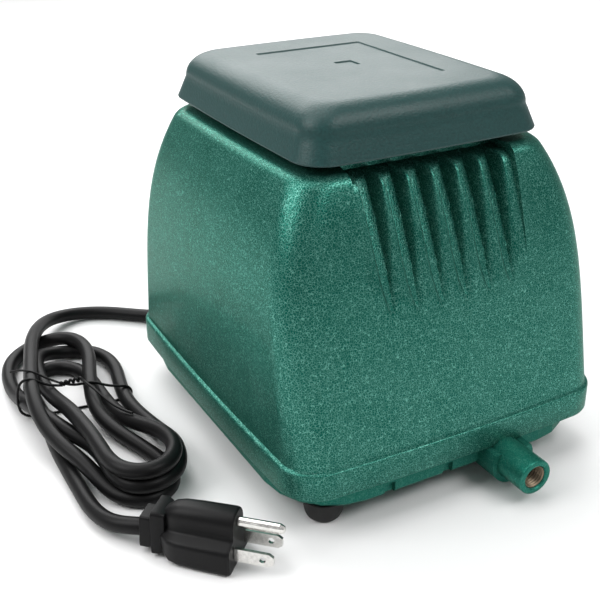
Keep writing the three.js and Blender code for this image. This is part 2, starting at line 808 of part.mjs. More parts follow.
add('cord_tail', makeTail(), 'cord_black');
add('plug_body', makePlugBody(), 'cord_black');
add('plug_blade_left', makeBlade(-1), 'nickel');
add('plug_blade_right', makeBlade(1), 'nickel');
add('plug_ground_pin', makeGroundPin(), 'nickel');

export default group;
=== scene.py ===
"""Looks, cord and camera of the diaphragm air pump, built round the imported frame. Metres, +Z up."""
import json
import math

import bmesh
import bpy
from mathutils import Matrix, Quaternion, Vector


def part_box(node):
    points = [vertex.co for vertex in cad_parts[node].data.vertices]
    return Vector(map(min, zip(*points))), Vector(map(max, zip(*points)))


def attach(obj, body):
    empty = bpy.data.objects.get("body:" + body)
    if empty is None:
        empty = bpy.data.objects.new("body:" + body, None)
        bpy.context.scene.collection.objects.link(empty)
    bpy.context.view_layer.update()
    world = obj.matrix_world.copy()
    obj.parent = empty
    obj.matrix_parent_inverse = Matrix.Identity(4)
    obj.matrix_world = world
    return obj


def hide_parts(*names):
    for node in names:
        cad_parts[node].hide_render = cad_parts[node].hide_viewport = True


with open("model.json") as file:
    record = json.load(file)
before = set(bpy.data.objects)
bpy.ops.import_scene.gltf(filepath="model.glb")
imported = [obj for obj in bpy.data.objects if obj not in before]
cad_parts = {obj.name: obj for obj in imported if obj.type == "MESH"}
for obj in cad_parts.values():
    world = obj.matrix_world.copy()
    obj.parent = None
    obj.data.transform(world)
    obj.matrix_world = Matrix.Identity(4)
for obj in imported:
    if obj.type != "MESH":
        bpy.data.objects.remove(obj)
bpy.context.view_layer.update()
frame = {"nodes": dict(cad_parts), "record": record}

MM = 0.001

# Housing, in millimetres, as in the CAD
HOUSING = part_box("upper_housing")
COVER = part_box("filter_cover")
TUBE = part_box("outlet_tube")
CENTRE_Y = (HOUSING[0].y + HOUSING[1].y) / 2 / MM
FRONT_Y = HOUSING[0].y / MM
BACK_Y = HOUSING[1].y / MM
FLANGE_HALF = HOUSING[1].x / MM
SKIRT_BOTTOM = HOUSING[0].z / MM
RIDGE = 34.0
HOUSING_TOP = 153.0
FLANGE_RADIUS = 18.8
WALL_RADIUS = 16.0
BOW = 1.5
WALL = 3.0
LEDGE = 34.6
TOP_EDGE = 4.0
SHELF_Y = CENTRE_Y - 48  # front of the roof above the louvres
WELL_HALF = 48.0
WELL_FRONT = CENTRE_Y - 42
WELL_BACK = CENTRE_Y + 68
WELL_TOP = HOUSING[1].z / MM

# Louvres: five free ridges, and a strip at ridge height along each side of the recess.
# The ridges stand a little further out, and the grooves are deeper, than in the CAD.
RIDGE_PITCH = 12.8
RIDGE_TIP = 3.6
RIDGES_A_SIDE = 2
CROWN_HEIGHT = 4.0
RECESS_HALF = 42.0
RECESS_BOTTOM = 95.0
RECESS_TOP = 149.5
RECESS_DEPTH = 5.0
GROOVE_DEPTH = 12.0

# Panel and mark sunk in the cover's top
PANEL_HALF_X = 29.5
PANEL_HALF_Y = 38.0
PANEL_SUNK = 0.6
MARK_HALF = 4.8

# Outlet
OUTLET_BORE = 5.6
OUTLET_X = (TUBE[0].x + TUBE[1].x) / 2 / MM
OUTLET_Z = (TUBE[0].z + TUBE[1].z) / 2 / MM
OUTLET_FRONT = TUBE[0].y / MM
OUTLET_RADIUS = (TUBE[1].x - TUBE[0].x) / 2 / MM

# Cord and plug
CORD_RADIUS = 3.9
TIE_RADIUS = 0.7
PLUG_FACE = Vector((-109.5, -77, 8))
PLUG_TURN = math.radians(-44.5)

# Camera
CAMERA_AT = Vector((-0.24557, -0.38437, 0.28473))
CAMERA_TURN = math.radians(-28.424)
CAMERA_LIFT = math.radians(25.842)
CAMERA_ROLL = math.radians(-0.463)
CAMERA_LENS = 59.908

# Lights: name, place, (width, height), watts; all of them point at AIM
AIM = (0, 0, 0.08)
SOFT_BOXES = [
    ("key", (-1.0, 0.15, 0.95), (0.8, 0.7), 9),
    ("fill", (0.45, -0.75, 1.1), (0.9, 0.5), 9),
    ("top_back", (0.25, 1.0, 0.85), (1.3, 0.9), 16),
]
WORLD_STRENGTH = 0.28
OVERHEAD_STRENGTH = 1.35
OVERHEAD_SPREAD = math.radians(50)
OVERHEAD_TILT = (math.radians(-14), math.radians(-8), 0)
FLOOR_HALF = 6.0


# ---- mesh helpers ----

def mesh_object(name, verts, faces, sharp=35):
    mesh = bpy.data.meshes.new(name)
    mesh.from_pydata([(x * MM, y * MM, z * MM) for x, y, z in verts], [], faces)
    work = bmesh.new()
    work.from_mesh(mesh)
    bmesh.ops.remove_doubles(work, verts=work.verts, dist=1e-6)
    bmesh.ops.dissolve_degenerate(work, edges=work.edges, dist=1e-7)
    bmesh.ops.recalc_face_normals(work, faces=work.faces)
    work.to_mesh(mesh)
    work.free()
    piece = bpy.data.objects.new(name, mesh)
    bpy.context.scene.collection.objects.link(piece)
    smooth(piece, sharp)
    return piece


def smooth(piece, sharp=35):
    piece.data.shade_smooth()
    piece.data.set_sharp_from_angle(angle=math.radians(sharp))


def loft(rings, caps=True):
    """Vertices and faces of a skin over rings of equal point count."""
    count = len(rings[0])
    verts = [point for ring in rings for point in ring]
    faces = []
    for level in range(len(rings) - 1):
        for i in range(count):
            j = (i + 1) % count
            low = level * count
            faces.append((low + i, low + j, low + count + j, low + count + i))
    if caps:
        faces.append(tuple(range(count))[::-1])
        faces.append(tuple(range(len(verts) - count, len(verts))))
    return verts, faces


def turned(name, profile, x, y, z, axis="Z", segments=64, sharp=35):
    """Turned piece from [radius, distance] pairs."""
    rings = []
    for radius, along in profile:
        ring = []
        for i in range(segments):
            angle = 2 * math.pi * i / segments
            across = (radius * math.cos(angle), radius * math.sin(angle))
            if axis == "Z":
                ring.append((x + across[0], y + across[1], z + along))
            else:
                ring.append((x + across[0], y + along, z + across[1]))
        rings.append(ring)
    return mesh_object(name, *loft(rings, caps=False), sharp=sharp)


def plan(half_x, y0, y1, radius, bow=0.0, corner=14, front=None, side=16):
    """Plan outline with round corners and swelling sides; front lists extra x positions along the front."""
    points = []
    inner_x = half_x - bow
    low, high = y0 + bow, y1 - bow
    centres = [
        (inner_x - radius, high - radius),
        (-inner_x + radius, high - radius),
        (-inner_x + radius, low + radius),
        (inner_x - radius, low + radius),
    ]
    for quarter, (cx, cy) in enumerate(centres):
        for step in range(corner + 1):
            angle = (quarter + step / corner) * math.pi / 2
            points.append((cx + radius * math.cos(angle), cy + radius * math.sin(angle)))
        start = points[-1]
        turn = (quarter + 1) * math.pi / 2
        nx, ny = centres[(quarter + 1) % 4]
        end = (nx + radius * math.cos(turn), ny + radius * math.sin(turn))
        shares = [(step + 1) / (side + 1) for step in range(side)]
        if quarter == 2 and front:
            shares = [(x - start[0]) / (end[0] - start[0]) for x in front(abs(start[0]))]
        for share in shares:
            swell = bow * (1 - (2 * share - 1) ** 2)
            points.append((
                start[0] + (end[0] - start[0]) * share + swell * math.cos(turn),
                start[1] + (end[1] - start[1]) * share + swell * math.sin(turn),
            ))
    return points


# ---- materials ----

class Shader:
    """Short way to write a procedural material."""

    def __init__(self, name):
        self.material = bpy.data.materials.new(name)
        self.material.use_nodes = True
        self.tree = self.material.node_tree
        self.surface = self.tree.nodes["Principled BSDF"]
        self.place = self.tree.nodes.new("ShaderNodeTexCoord").outputs["Object"]

    def node(self, kind, **settings):
        made = self.tree.nodes.new(kind)
        for key, value in settings.items():
            setattr(made, key, value)
        return made

    def link(self, source, target):
        self.tree.links.new(source, target)

    def set(self, **values):
        for key, value in values.items():
            self.surface.inputs[key.replace("_", " ")].default_value = value
        return self

    def noise(self, scale, detail=3.0, rough=0.5, vector=None):
        made = self.node("ShaderNodeTexNoise")
        made.inputs["Scale"].default_value = scale
        made.inputs["Detail"].default_value = detail
        made.inputs["Roughness"].default_value = rough
        self.link(vector or self.place, made.inputs["Vector"])
        return made.outputs["Fac"]

    def cells(self, scale, feature="F1", vector=None):
        made = self.node("ShaderNodeTexVoronoi", feature=feature)
        made.inputs["Scale"].default_value = scale
        self.link(vector or self.place, made.inputs["Vector"])
        return made.outputs["Distance"]

    def warped(self, scale, amount):
        """Coordinates pushed about by noise, so that a pattern isn't regular."""
        made = self.node("ShaderNodeTexNoise")
        made.inputs["Scale"].default_value = scale
        self.link(self.place, made.inputs["Vector"])
        mix = self.node("ShaderNodeVectorMath", operation="MULTIPLY_ADD")
        mix.inputs[1].default_value = (amount, amount, amount)
        self.link(made.outputs["Color"], mix.inputs[0])
        self.link(self.place, mix.inputs[2])
        return mix.outputs[0]

    def ramp(self, factor, stops):
        made = self.node("ShaderNodeValToRGB")
        elements = made.color_ramp.elements
        while len(elements) < len(stops):
            elements.new(0.5)
        for element, (at, colour) in zip(elements, stops):
            element.position = at
            element.color = (*colour, 1) if len(colour) == 3 else colour
        self.link(factor, made.inputs["Fac"])
        return made.outputs["Color"]

    def range(self, factor, low, high):
        made = self.node("ShaderNodeMapRange")
        made.inputs["To Min"].default_value = low
        made.inputs["To Max"].default_value = high
        self.link(factor, made.inputs["Value"])
        return made.outputs["Result"]

    def maths(self, operation, first, second):
        made = self.node("ShaderNodeMath", operation=operation)
        for socket, value in zip(made.inputs, (first, second)):
            if isinstance(value, (int, float)):
                socket.default_value = value
            else:
                self.link(value, socket)
        return made.outputs[0]

    def bump(self, height, distance, strength=1.0):
        made = self.node("ShaderNodeBump")
        made.inputs["Strength"].default_value = strength
        made.inputs["Distance"].default_value = distance
        self.link(height, made.inputs["Height"])
        self.link(made.outputs["Normal"], self.surface.inputs["Normal"])


EDGE_GREEN = (0.12, 0.45, 0.37, 1)


def enamel(name, deep, light, vein=1.0, roughness=0.3):
    """Hammertone enamel: deep green with a fine net of lighter veins."""
    shader = Shader(name)
    shader.set(Metallic=0.55, IOR=1.5, Coat_Weight=0.08, Coat_Roughness=0.12, Specular_Tint=EDGE_GREEN)
    shader.surface.inputs["Specular IOR Level"].default_value = 0.2
    bent = shader.warped(700, 0.0014)
    edge = shader.cells(950, "DISTANCE_TO_EDGE", bent)
    net = shader.ramp(edge, [(0.0, (1, 1, 1)), (0.035, (0.45, 0.45, 0.45)), (0.10, (0, 0, 0))])
    patch = shader.ramp(shader.noise(600, 2.0), [(0.35, (0.4, 0.4, 0.4)), (0.62, (1, 1, 1))])
    cloud = shader.noise(60, 3.0)
    share = shader.maths("MULTIPLY", net, patch)
    share = shader.maths("MULTIPLY", share, 0.75 * vein)
    grain = shader.range(cloud, -0.04, 0.10)
    share = shader.maths("ADD", share, grain)
    colour = shader.ramp(share, [(0.0, deep), (1.0, light)])
    shader.link(colour, shader.surface.inputs["Base Color"])
    shader.link(shader.range(cloud, roughness - 0.04, roughness + 0.08), shader.surface.inputs["Roughness"])
    height = shader.maths("ADD", shader.maths("MULTIPLY", shader.noise(330, 2.0), 0.6), edge)
    shader.bump(height, 0.0005, 0.22 * vein)
    return shader.material


def pebbled(name, colour, roughness, grain, depth, specular=0.5, coat=0.0):
    """Moulded plastic or rubber with a fine pebble grain."""
    shader = Shader(name)
    shader.set(Metallic=0.0, Coat_Weight=coat)
    shader.surface.inputs["Specular IOR Level"].default_value = specular
    spots = shader.noise(grain, 2.0, 0.6)
    shade = [(0.3, tuple(0.85 * c for c in colour)), (0.7, tuple(1.18 * c for c in colour))]
    shader.link(shader.ramp(spots, shade), shader.surface.inputs["Base Color"])
    wide = shader.noise(40, 2.0)
    rough = shader.range(wide, roughness - 0.05, roughness + 0.06)
    shader.link(rough, shader.surface.inputs["Roughness"])
    shader.bump(spots, depth, 0.5)
    return shader.material


def metal(name, colour, roughness, scratch=900):
    """Metal with fine uneven brightness."""
    shader = Shader(name)
    shader.set(Metallic=1.0)
    spots = shader.noise(scratch, 4.0, 0.6)
    shade = [(0.25, tuple(0.7 * c for c in colour)), (0.75, tuple(1.1 * c for c in colour))]
    shader.link(shader.ramp(spots, shade), shader.surface.inputs["Base Color"])
    rough = shader.range(shader.noise(120, 3.0), roughness - 0.06, roughness + 0.12)
    shader.link(rough, shader.surface.inputs["Roughness"])
    shader.bump(spots, 0.0001, 0.3)
    return shader.material


def striped(name, colour, other, spacing, roughness, metallic):
    """Stacked laminations or wound tape: fine lines across the piece."""
    shader = Shader(name)
    shader.set(Metallic=metallic)
    waves = shader.node("ShaderNodeTexWave", bands_direction="Z")
    waves.inputs["Scale"].default_value = 1 / spacing / 3
    waves.inputs["Distortion"].default_value = 0.4
    shader.link(shader.place, waves.inputs["Vector"])
    stripe = waves.outputs["Fac"]
    shader.link(shader.ramp(stripe, [(0.2, colour), (0.8, other)]), shader.surface.inputs["Base Color"])
    rough = shader.range(shader.noise(200), roughness - 0.05, roughness + 0.1)
    shader.link(rough, shader.surface.inputs["Roughness"])
    shader.bump(stripe, 0.0002, 0.4)
    return shader.material


def make_materials():
    return {
        "hammer_green": enamel("green_enamel", (0.004, 0.088, 0.064), (0.20, 0.52, 0.43), 1.2),
        "outlet_green": enamel("outlet_enamel", (0.006, 0.13, 0.095), (0.14, 0.40, 0.31), 0.8, 0.25),
        "base_green": enamel("base_enamel", (0.006, 0.11, 0.082), (0.12, 0.36, 0.28), 0.8, 0.36),
        "cover_plastic": pebbled("cover_plastic", (0.010, 0.046, 0.044), 0.42, 900, 0.0003, 0.35),
        "rubber": pebbled("foot_rubber", (0.012, 0.012, 0.012), 0.6, 1400, 0.0001, 0.35),
        "cord_black": pebbled("cord_vinyl", (0.005, 0.005, 0.0053), 0.42, 1600, 0.00004, 0.16),
        "black_plastic": pebbled("black_plastic", (0.02, 0.02, 0.02), 0.5, 1200, 0.0001),
        "magnet": pebbled("magnet_ferrite", (0.03, 0.03, 0.032), 0.5, 1800, 0.0001),
        "filter_felt": pebbled("filter_felt", (0.62, 0.60, 0.53), 0.95, 2200, 0.0012, 0.1),
        "steel": metal("zinc_steel", (0.55, 0.56, 0.58), 0.35),
        "aluminium": metal("cast_aluminium", (0.60, 0.61, 0.62), 0.5, 1500),
        "nickel": metal("nickel_plate", (0.78, 0.77, 0.74), 0.18, 600),
        "brass": metal("outlet_thread_metal", (0.30, 0.24, 0.17), 0.45, 1800),
        "core_steel": striped("core_laminations", (0.10, 0.10, 0.11), (0.32, 0.33, 0.34), 0.0005, 0.4, 0.9),
        "coil_tape": striped("coil_tape", (0.42, 0.16, 0.035), (0.55, 0.23, 0.06), 0.003, 0.55, 0.0),
    }


# ---- housing ----

def wall_inset(z):
    """How far the wall stands in from the flange at a height."""
    rise = min(max((z - RIDGE) / (HOUSING_TOP - RIDGE), 0), 1)
    return {
        "side": 2 + rise + 18.7 * rise ** 4.3,
        "front": 2 + 23.4 * rise + 7.5 * rise ** 4.5,
        "back": 2 + 10.6 * rise + 4.1 * rise ** 1.5,
    }


def louvre_y(x, z):
    """How far back the ribbed face of the recess is: round ridges that narrow towards the top."""
    climb = (z - RECESS_BOTTOM) / (HOUSING_TOP - RECESS_BOTTOM)
    crown = max(0.0, (z - RECESS_TOP) / CROWN_HEIGHT + 1)
    crest = FRONT_Y + wall_inset(z)["front"] + RECESS_DEPTH * climb ** 1.3
    crest += CROWN_HEIGHT * (1 - math.sqrt(max(0.0, 1 - crown * crown)))
    outer_strip = (RIDGES_A_SIDE + 1) * RIDGE_PITCH
    place = min(abs(x), outer_strip)
    across = abs(place - round(place / RIDGE_PITCH) * RIDGE_PITCH)
    bar_half = RIDGE_PITCH / 2 + (RIDGE_TIP - RIDGE_PITCH) / 2 * climb ** 0.5
    flat = 0.25 * bar_half
    share = min(max((across - flat) / (bar_half - flat), 0), 1)
    return crest + GROOVE_DEPTH * climb ** 0.8 * (1 - math.sqrt(1 - share * share))


def front_positions(span):
    """Places along the front: dense over the recess, with a double point at each of its edges."""
    steps = 210
    beside = 6
    if span <= RECESS_HALF + 1:
        count = steps + 1 + 2 * beside
        return [-span + 2 * span * (i + 1) / (count + 1) for i in range(count)]
    dense = [-RECESS_HALF + 2 * RECESS_HALF * i / steps for i in range(steps + 1)]
    room = span - RECESS_HALF - 0.02
    outside = [RECESS_HALF + 0.02 + room * i / beside for i in range(beside)]
    return [-x for x in reversed(outside)] + dense + outside


def housing_ring(z, half_x, y0, y1, radius, carve=False, shelf=False):
    ring = []
    for x, y in plan(half_x, y0, y1, radius, BOW, front=front_positions):
        if y < CENTRE_Y - 30 and abs(x) <= RECESS_HALF + 0.001:
            if shelf:
                y = SHELF_Y
            elif carve:
                y = max(y, louvre_y(x, z))
        ring.append((x, y, z))
    return ring


def wall_ring(z, extra=0.0, carve=False, shelf=False):
    inset = wall_inset(z)
    half = FLANGE_HALF - inset["side"] - extra
    front = FRONT_Y + inset["front"] + extra
    back = BACK_Y - inset["back"] - extra
    return housing_ring(z, half, front, back, WALL_RADIUS - 0.3 * extra, carve, shelf)


def flange_ring(z, inset):
    return housing_ring(z, FLANGE_HALF - inset, FRONT_Y + inset, BACK_Y - inset, FLANGE_RADIUS - 0.5 * inset)


def inner_ring(z):
    inset = wall_inset(z)
    side = max(8, inset["side"] + WALL)
    front = max(8, inset["front"] + WALL) + max(0, z - 90) * 0.33 + 1
    back = max(8, inset["back"] + WALL)
    return housing_ring(z, FLANGE_HALF - side, FRONT_Y + front, BACK_Y - back, 13)


def well_outline(z, inset):
    """Ring round the filter well with the same point count as the wall rings."""
    radius = 8 - 0.6 * inset
    outline = plan(WELL_HALF - inset, WELL_FRONT + inset, WELL_BACK - inset, radius, front=front_positions)
    return [(x, y, z) for x, y in outline]


def make_housing():
    """Shell from the inside up over the outside, to the rim of the filter well."""
    rings = [inner_ring(z) for z in (149.5, 140, 128, 110, 90, 60, LEDGE)]
    rings.append(flange_ring(LEDGE, WALL))
    rings.append(flange_ring(SKIRT_BOTTOM + 0.3, WALL))
    rings.append(flange_ring(SKIRT_BOTTOM, WALL - 0.4))
    rings.append(flange_ring(SKIRT_BOTTOM, 0.9))
    rings.append(flange_ring(SKIRT_BOTTOM + 0.25, 0.3))
    rings.append(flange_ring(SKIRT_BOTTOM + 0.9, 0.0))
    rings.append(flange_ring(RIDGE - 1.6, 0.0))
    for step in range(1, 5):
        angle = step / 4 * math.pi / 2
        rings.append(flange_ring(RIDGE - 1.2 + 1.2 * math.sin(angle), 1.2 * (1 - math.cos(angle))))
    rings.append(wall_ring(RIDGE + 0.35))
    rings.append(wall_ring(RIDGE + 1.2))
    for step in range(1, 17):
        rings.append(wall_ring(RIDGE + 1.2 + (RECESS_BOTTOM - RIDGE - 1.2) * step / 16))
    rise = RECESS_TOP - RECESS_BOTTOM
    for step in range(1, 61):
        z = RECESS_BOTTOM + rise * step / 60
        extra = edge_extra(z)
        rings.append(wall_ring(z, extra, carve=True))
    rings.append(wall_ring(RECESS_TOP, edge_extra(RECESS_TOP), shelf=True))
    for step in range(1, 9):
        z = RECESS_TOP + (HOUSING_TOP - RECESS_TOP) * math.sin(step / 8 * math.pi / 2)
        rings.append(wall_ring(z, edge_extra(z), shelf=True))
    rings.append(well_outline(HOUSING_TOP, 0))
    rings.append(well_outline(WELL_TOP - 0.5, 0))
    rings.append(well_outline(WELL_TOP, 0.5))
    rings.append(well_outline(WELL_TOP, 2.5))
    rings.append(well_outline(WELL_TOP - 0.5, 3))
    rings.append(well_outline(HOUSING_TOP, 3))
    return mesh_object("housing_shell", *loft(rings), sharp=38)


def edge_extra(z):
    """Inset of the rounded top edge at a height."""
    rise = max(0.0, z - (HOUSING_TOP - TOP_EDGE)) / TOP_EDGE
    return TOP_EDGE * (1 - math.sqrt(max(0.0, 1 - rise * rise)))


# ---- cover ----

def make_cover():
    """Drafted lid with big round top edges, a sunk panel and a small square mark in its middle."""
    rim, top = COVER[0].z / MM, COVER[1].z / MM
    half = COVER[1].x / MM
    low, high = COVER[0].y / MM, COVER[1].y / MM
    middle = (low + high) / 2
    shoulder = rim + 11.1
    draft, round_in, wall = 3.85, 13.1, 2.5

    def ring(z, inset):
        radius = max(14.7 - 0.35 * inset, 5)
        return [(x, y, z) for x, y in plan(half - inset, low + inset, high - inset, radius, 0.8)]

    def square(z, half_x, half_y):
        return [(x, y, z) for x, y in plan(half_x, middle - half_y, middle + half_y, 0.5)]

    rings = []
    for step in range(8, -1, -1):
        angle = step / 8 * math.pi / 2
        inset = draft + wall + (round_in - wall) * (1 - math.cos(angle))
        rings.append(ring(shoulder + (top - wall - shoulder) * math.sin(angle), inset))
    rings.append(ring(rim + 0.3, wall))
    rings.append(ring(rim, wall - 0.3))
    rings.append(ring(rim, 0.7))
    rings.append(ring(rim + 0.25, 0.2))
    rings.append(ring(rim + 0.9, 0.05))
    for step in range(1, 5):
        rings.append(ring(rim + 0.9 + (shoulder - rim - 0.9) * step / 4, 0.05 + (draft - 0.05) * step / 4))
    for step in range(1, 15):
        angle = step / 14 * math.pi / 2
        inset = draft + round_in * (1 - math.cos(angle))
        rings.append(ring(shoulder + (top - shoulder) * math.sin(angle), inset))
    rings.append(square(top, PANEL_HALF_X, PANEL_HALF_Y))
    rings.append(square(top - PANEL_SUNK, PANEL_HALF_X - 0.4, PANEL_HALF_Y - 0.4))
    rings.append(square(top - PANEL_SUNK, MARK_HALF, MARK_HALF))
    rings.append(square(top - 2 * PANEL_SUNK, MARK_HALF - 0.3, MARK_HALF - 0.3))
    return mesh_object("cover_shell", *loft(rings), sharp=30)


# ---- outlet and feet ----

def make_outlet():
    length = TUBE[1].y / MM - OUTLET_FRONT
    rim = 0.9  # radius of the rounded outer edge
    profile = [(OUTLET_BORE, length), (OUTLET_RADIUS, length), (OUTLET_RADIUS, rim)]
    for step in range(1, 6):
        angle = step / 5 * math.pi / 2
        profile.append((OUTLET_RADIUS - rim + rim * math.cos(angle), rim - rim * math.sin(angle)))
    profile += [(OUTLET_BORE + 0.6, 0), (OUTLET_BORE, 0.6), (OUTLET_BORE, length)]
    return turned("outlet_shell", profile, OUTLET_X, OUTLET_FRONT, OUTLET_Z, axis="Y", segments=96)


def make_thread():
    """Threaded liner: crests and roots as plain rings, not a helix."""
    start, end = 0.8, 19.0
    pitch = 1.4
    crest, root, outside = 4.8, 5.25, 5.35
    profile = [(5.3, start)]
    for turn in range(13):
        at = start + turn * pitch
        profile += [(root, at), (crest, at + pitch / 2)]
    profile += [(root, end), (outside, end), (outside, start), (5.3, start)]
    return turned("thread_liner", profile, OUTLET_X, OUTLET_FRONT, OUTLET_Z, axis="Y", segments=72, sharp=60)


def make_foot(where):
    low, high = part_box(f"foot_{where}")
    x, y = (low.x + high.x) / 2 / MM, (low.y + high.y) / 2 / MM
    profile = [(2.4, 10.2), (2.4, 4.5), (4.2, 4.5), (4.2, 0.3), (4.5, 0), (6.2, 0)]
    for step in range(1, 13):
        angle = step / 12 * math.pi / 2
        profile.append((6.2 + 3.0 * math.sin(angle), 7.0 * (1 - math.cos(angle))))
    profile += [(9.2, 9.8), (8.8, 10.2), (2.4, 10.2)]
    return turned(f"rubber_foot_{where}", profile, x, y, 0)


# ---- cord, tie and plug ----

# Control points of the cord's curve, in millimetres, from the gland to the plug: the lead over the
# top of the hank, three turns, and the tail that runs back along the floor
LEAD = [
    (-40, 109, 21), (-41, 122, 17), (-47, 134, 10), (-58, 146, 5), (-70, 157, 4.2), (-81, 167, 4.2),
    (-94, 175, 4.2), (-108, 177, 5), (-120, 170, 8), (-129, 157, 12), (-136, 142, 16), (-142, 127, 18),
    (-146, 113, 19), (-150, 98, 19.6), (-154, 83, 19.8), (-157, 69, 19.8), (-159, 54, 18), (-158, 39, 14),
]
FIRST_TURN = [
    (-155, 24, 12.6), (-149.5, 9, 10.5), (-146, -4, 7), (-142.5, -14.5, 4.6), (-136, -22, 4.2),
    (-128, -25, 4.2), (-120, -22.5, 4.2), (-114.5, -16, 4.2), (-112.5, -7, 4.2), (-114.5, 5, 4.2),
    (-119, 19, 4.6), (-124, 33, 5), (-128, 47, 6.5), (-128, 62, 9), (-124.5, 77, 11.5), (-120, 92, 12),
    (-115.5, 106, 12), (-114, 120, 12), (-117, 133, 11.5), (-126, 142, 9), (-137, 145, 6), (-148, 141, 4.4),
    (-155.5, 131, 4.2), (-159, 118, 4.2), (-160.5, 105, 4.4), (-160.5, 92, 6),
]
SECOND_TURN = [
    (-159.5, 79, 9.5), (-157, 65, 11.8), (-153, 50, 12), (-148.5, 35, 12), (-142, 20, 12.2),
    (-140.5, 6, 12.2),
    (-141, -6, 12.1), (-139.5, -16, 12), (-135.5, -22.5, 12), (-127.5, -25.5, 12), (-118.5, -23.5, 12),
    (-111.5, -17, 12), (-107.5, -7, 11.6), (-104.5, 6, 9.5), (-104, 18, 6), (-105.5, 30, 4.4),
    (-108, 44, 4.2), (-109.5, 58, 4.2), (-108.5, 73, 4.2), (-105.5, 87, 4.2), (-103, 100, 4.2),
    (-103.5, 112, 4.2), (-107.5, 122, 4.2), (-115, 129, 4.2), (-124.5, 131.5, 4.4), (-134, 129.5, 7),
    (-141, 122, 10.5), (-144.5, 110, 11.8), (-146.5, 97, 11.8), (-147, 85, 11.8),
]
THIRD_TURN = [
    (-146.5, 72, 13), (-145.5, 58, 16), (-144.5, 44, 19), (-143.5, 30, 19.8), (-142.5, 15, 19.8),
    (-142.5, 2, 19.8), (-142.5, -8, 19.8), (-140, -17, 19.8), (-134.5, -23, 19.8), (-127, -25.5, 19.8),
    (-119, -23, 19.8), (-113, -16.5, 19.7), (-110, -7, 18.5), (-109, 5, 16), (-111, 18, 12.8), (-116, 33, 9),
    (-118.5, 49, 5.5), (-119.5, 66, 4.2), (-119.5, 82, 4.2), (-119.5, 96, 4.2), (-122, 107, 4.2),
    (-128, 114.5, 4.2), (-136, 117, 4.2), (-144, 114.5, 4.2), (-150, 107, 4.2), (-152.5, 96, 4.2),
]
TAIL = [
    (-152.5, 82, 4.2), (-152.5, 68, 4.2), (-153.5, 54, 4.2), (-155, 40, 4.2), (-155.5, 26, 4.2),
    (-155.5, 11, 4.2), (-155.5, -5, 4.2), (-155.5, -19, 4.6), (-153, -32, 5.8), (-147.5, -41, 7.4),
    (-139.5, -47.5, 8.6), (-134, -53, 9),
]


def curve_object(name, points, radius, smoothness=6):
    data = bpy.data.curves.new(name, "CURVE")
    data.dimensions = "3D"
    data.bevel_depth = radius * MM
    data.bevel_resolution = 6
    data.resolution_u = smoothness
    data.use_fill_caps = True
    spline = data.splines.new("NURBS")
    spline.points.add(len(points) - 1)
    for point, (x, y, z) in zip(spline.points, points):
        point.co = (x * MM, y * MM, z * MM, 1)
    spline.order_u = 4
    spline.use_endpoint_u = True
    piece = bpy.data.objects.new(name, data)
    bpy.context.scene.collection.objects.link(piece)
    return piece


def in_plug_space(points):
    turn = Quaternion((0, 0, 1), PLUG_TURN)
    return [tuple(turn @ Vector(point) + PLUG_FACE) for point in points]


def filleted(corners, steps=7):
    """Outline with each corner, given as (across, up, radius), rounded off."""
    outline = []
    count = len(corners)
    for i, (y, z, radius) in enumerate(corners):
        here = Vector((y, z))
        before = (Vector(corners[i - 1][:2]) - here).normalized()
        after = (Vector(corners[(i + 1) % count][:2]) - here).normalized()
        half = before.angle(after) / 2
        reach = radius / math.tan(half)
        centre = here + (before + after).normalized() * (radius / math.sin(half))
        start = here + before * reach - centre
        end = here + after * reach - centre
        for step in range(steps + 1):
            swing = start.lerp(end, step / steps).normalized() * radius
            outline.append(tuple(centre + swing))
    return outline


def plug_loft(outline, sections, middle=2.0):
    """Rings of one outline along the plug, each section given as (along, width share, height share)."""
    rings = []
    for along, wide, tall in sections:
        rings.append(in_plug_space([(along, y * wide, middle + (z - middle) * tall) for y, z in outline]))
    return loft(rings)


def make_plug():
    """Moulded plug: body with a raised middle, collar, smaller collar behind it and strain relief."""
    body = filleted([
        (-13.3, -7.9, 2.6), (13.3, -7.9, 2.6), (13.3, 4.2, 2.8), (6.9, 6.6, 2.4),
        (6.9, 17.5, 5.6), (-6.9, 17.5, 5.6), (-6.9, 6.6, 2.4), (-13.3, 4.2, 2.8),
    ])
    collar = filleted([(-9, -6.5, 1.5), (9, -6.5, 1.5), (7.2, 14, 1.8), (-7.2, 14, 1.8)])
    wings = filleted([(-7.4, -5.2, 1.4), (7.4, -5.2, 1.4), (5.4, 9.5, 1.4), (-5.4, 9.5, 1.4)])
    relief = filleted([(-5, -4, 4), (5, -4, 4), (5, 6, 4), (-5, 6, 4)])
    parts = [
        plug_loft(body, [
            (-33, 0.55, 0.66), (-31.5, 0.66, 0.76), (-28, 0.86, 0.90), (-24, 0.94, 0.96), (-16, 0.97, 0.99),
            (-1.4, 1, 1), (-0.5, 0.985, 0.985), (0, 0.94, 0.95),
        ]),
        plug_loft(collar, [(-37, 0.93, 0.95), (-36.6, 1, 1), (-33.6, 1, 1), (-31, 0.86, 0.9)]),
        plug_loft(wings, [(-43, 0.92, 0.94), (-42.6, 1, 1), (-39.5, 1, 1), (-36, 0.95, 0.97)]),
        plug_loft(relief, [(-44, 0.78, 0.78), (-43.6, 0.86, 0.86), (-38, 1, 1)]),
    ]
    verts, faces = [], []
    for part_verts, part_faces in parts:
        faces += [tuple(len(verts) + i for i in face) for face in part_faces]
        verts += part_verts
    return mesh_object("plug_shell", verts, faces, sharp=32)


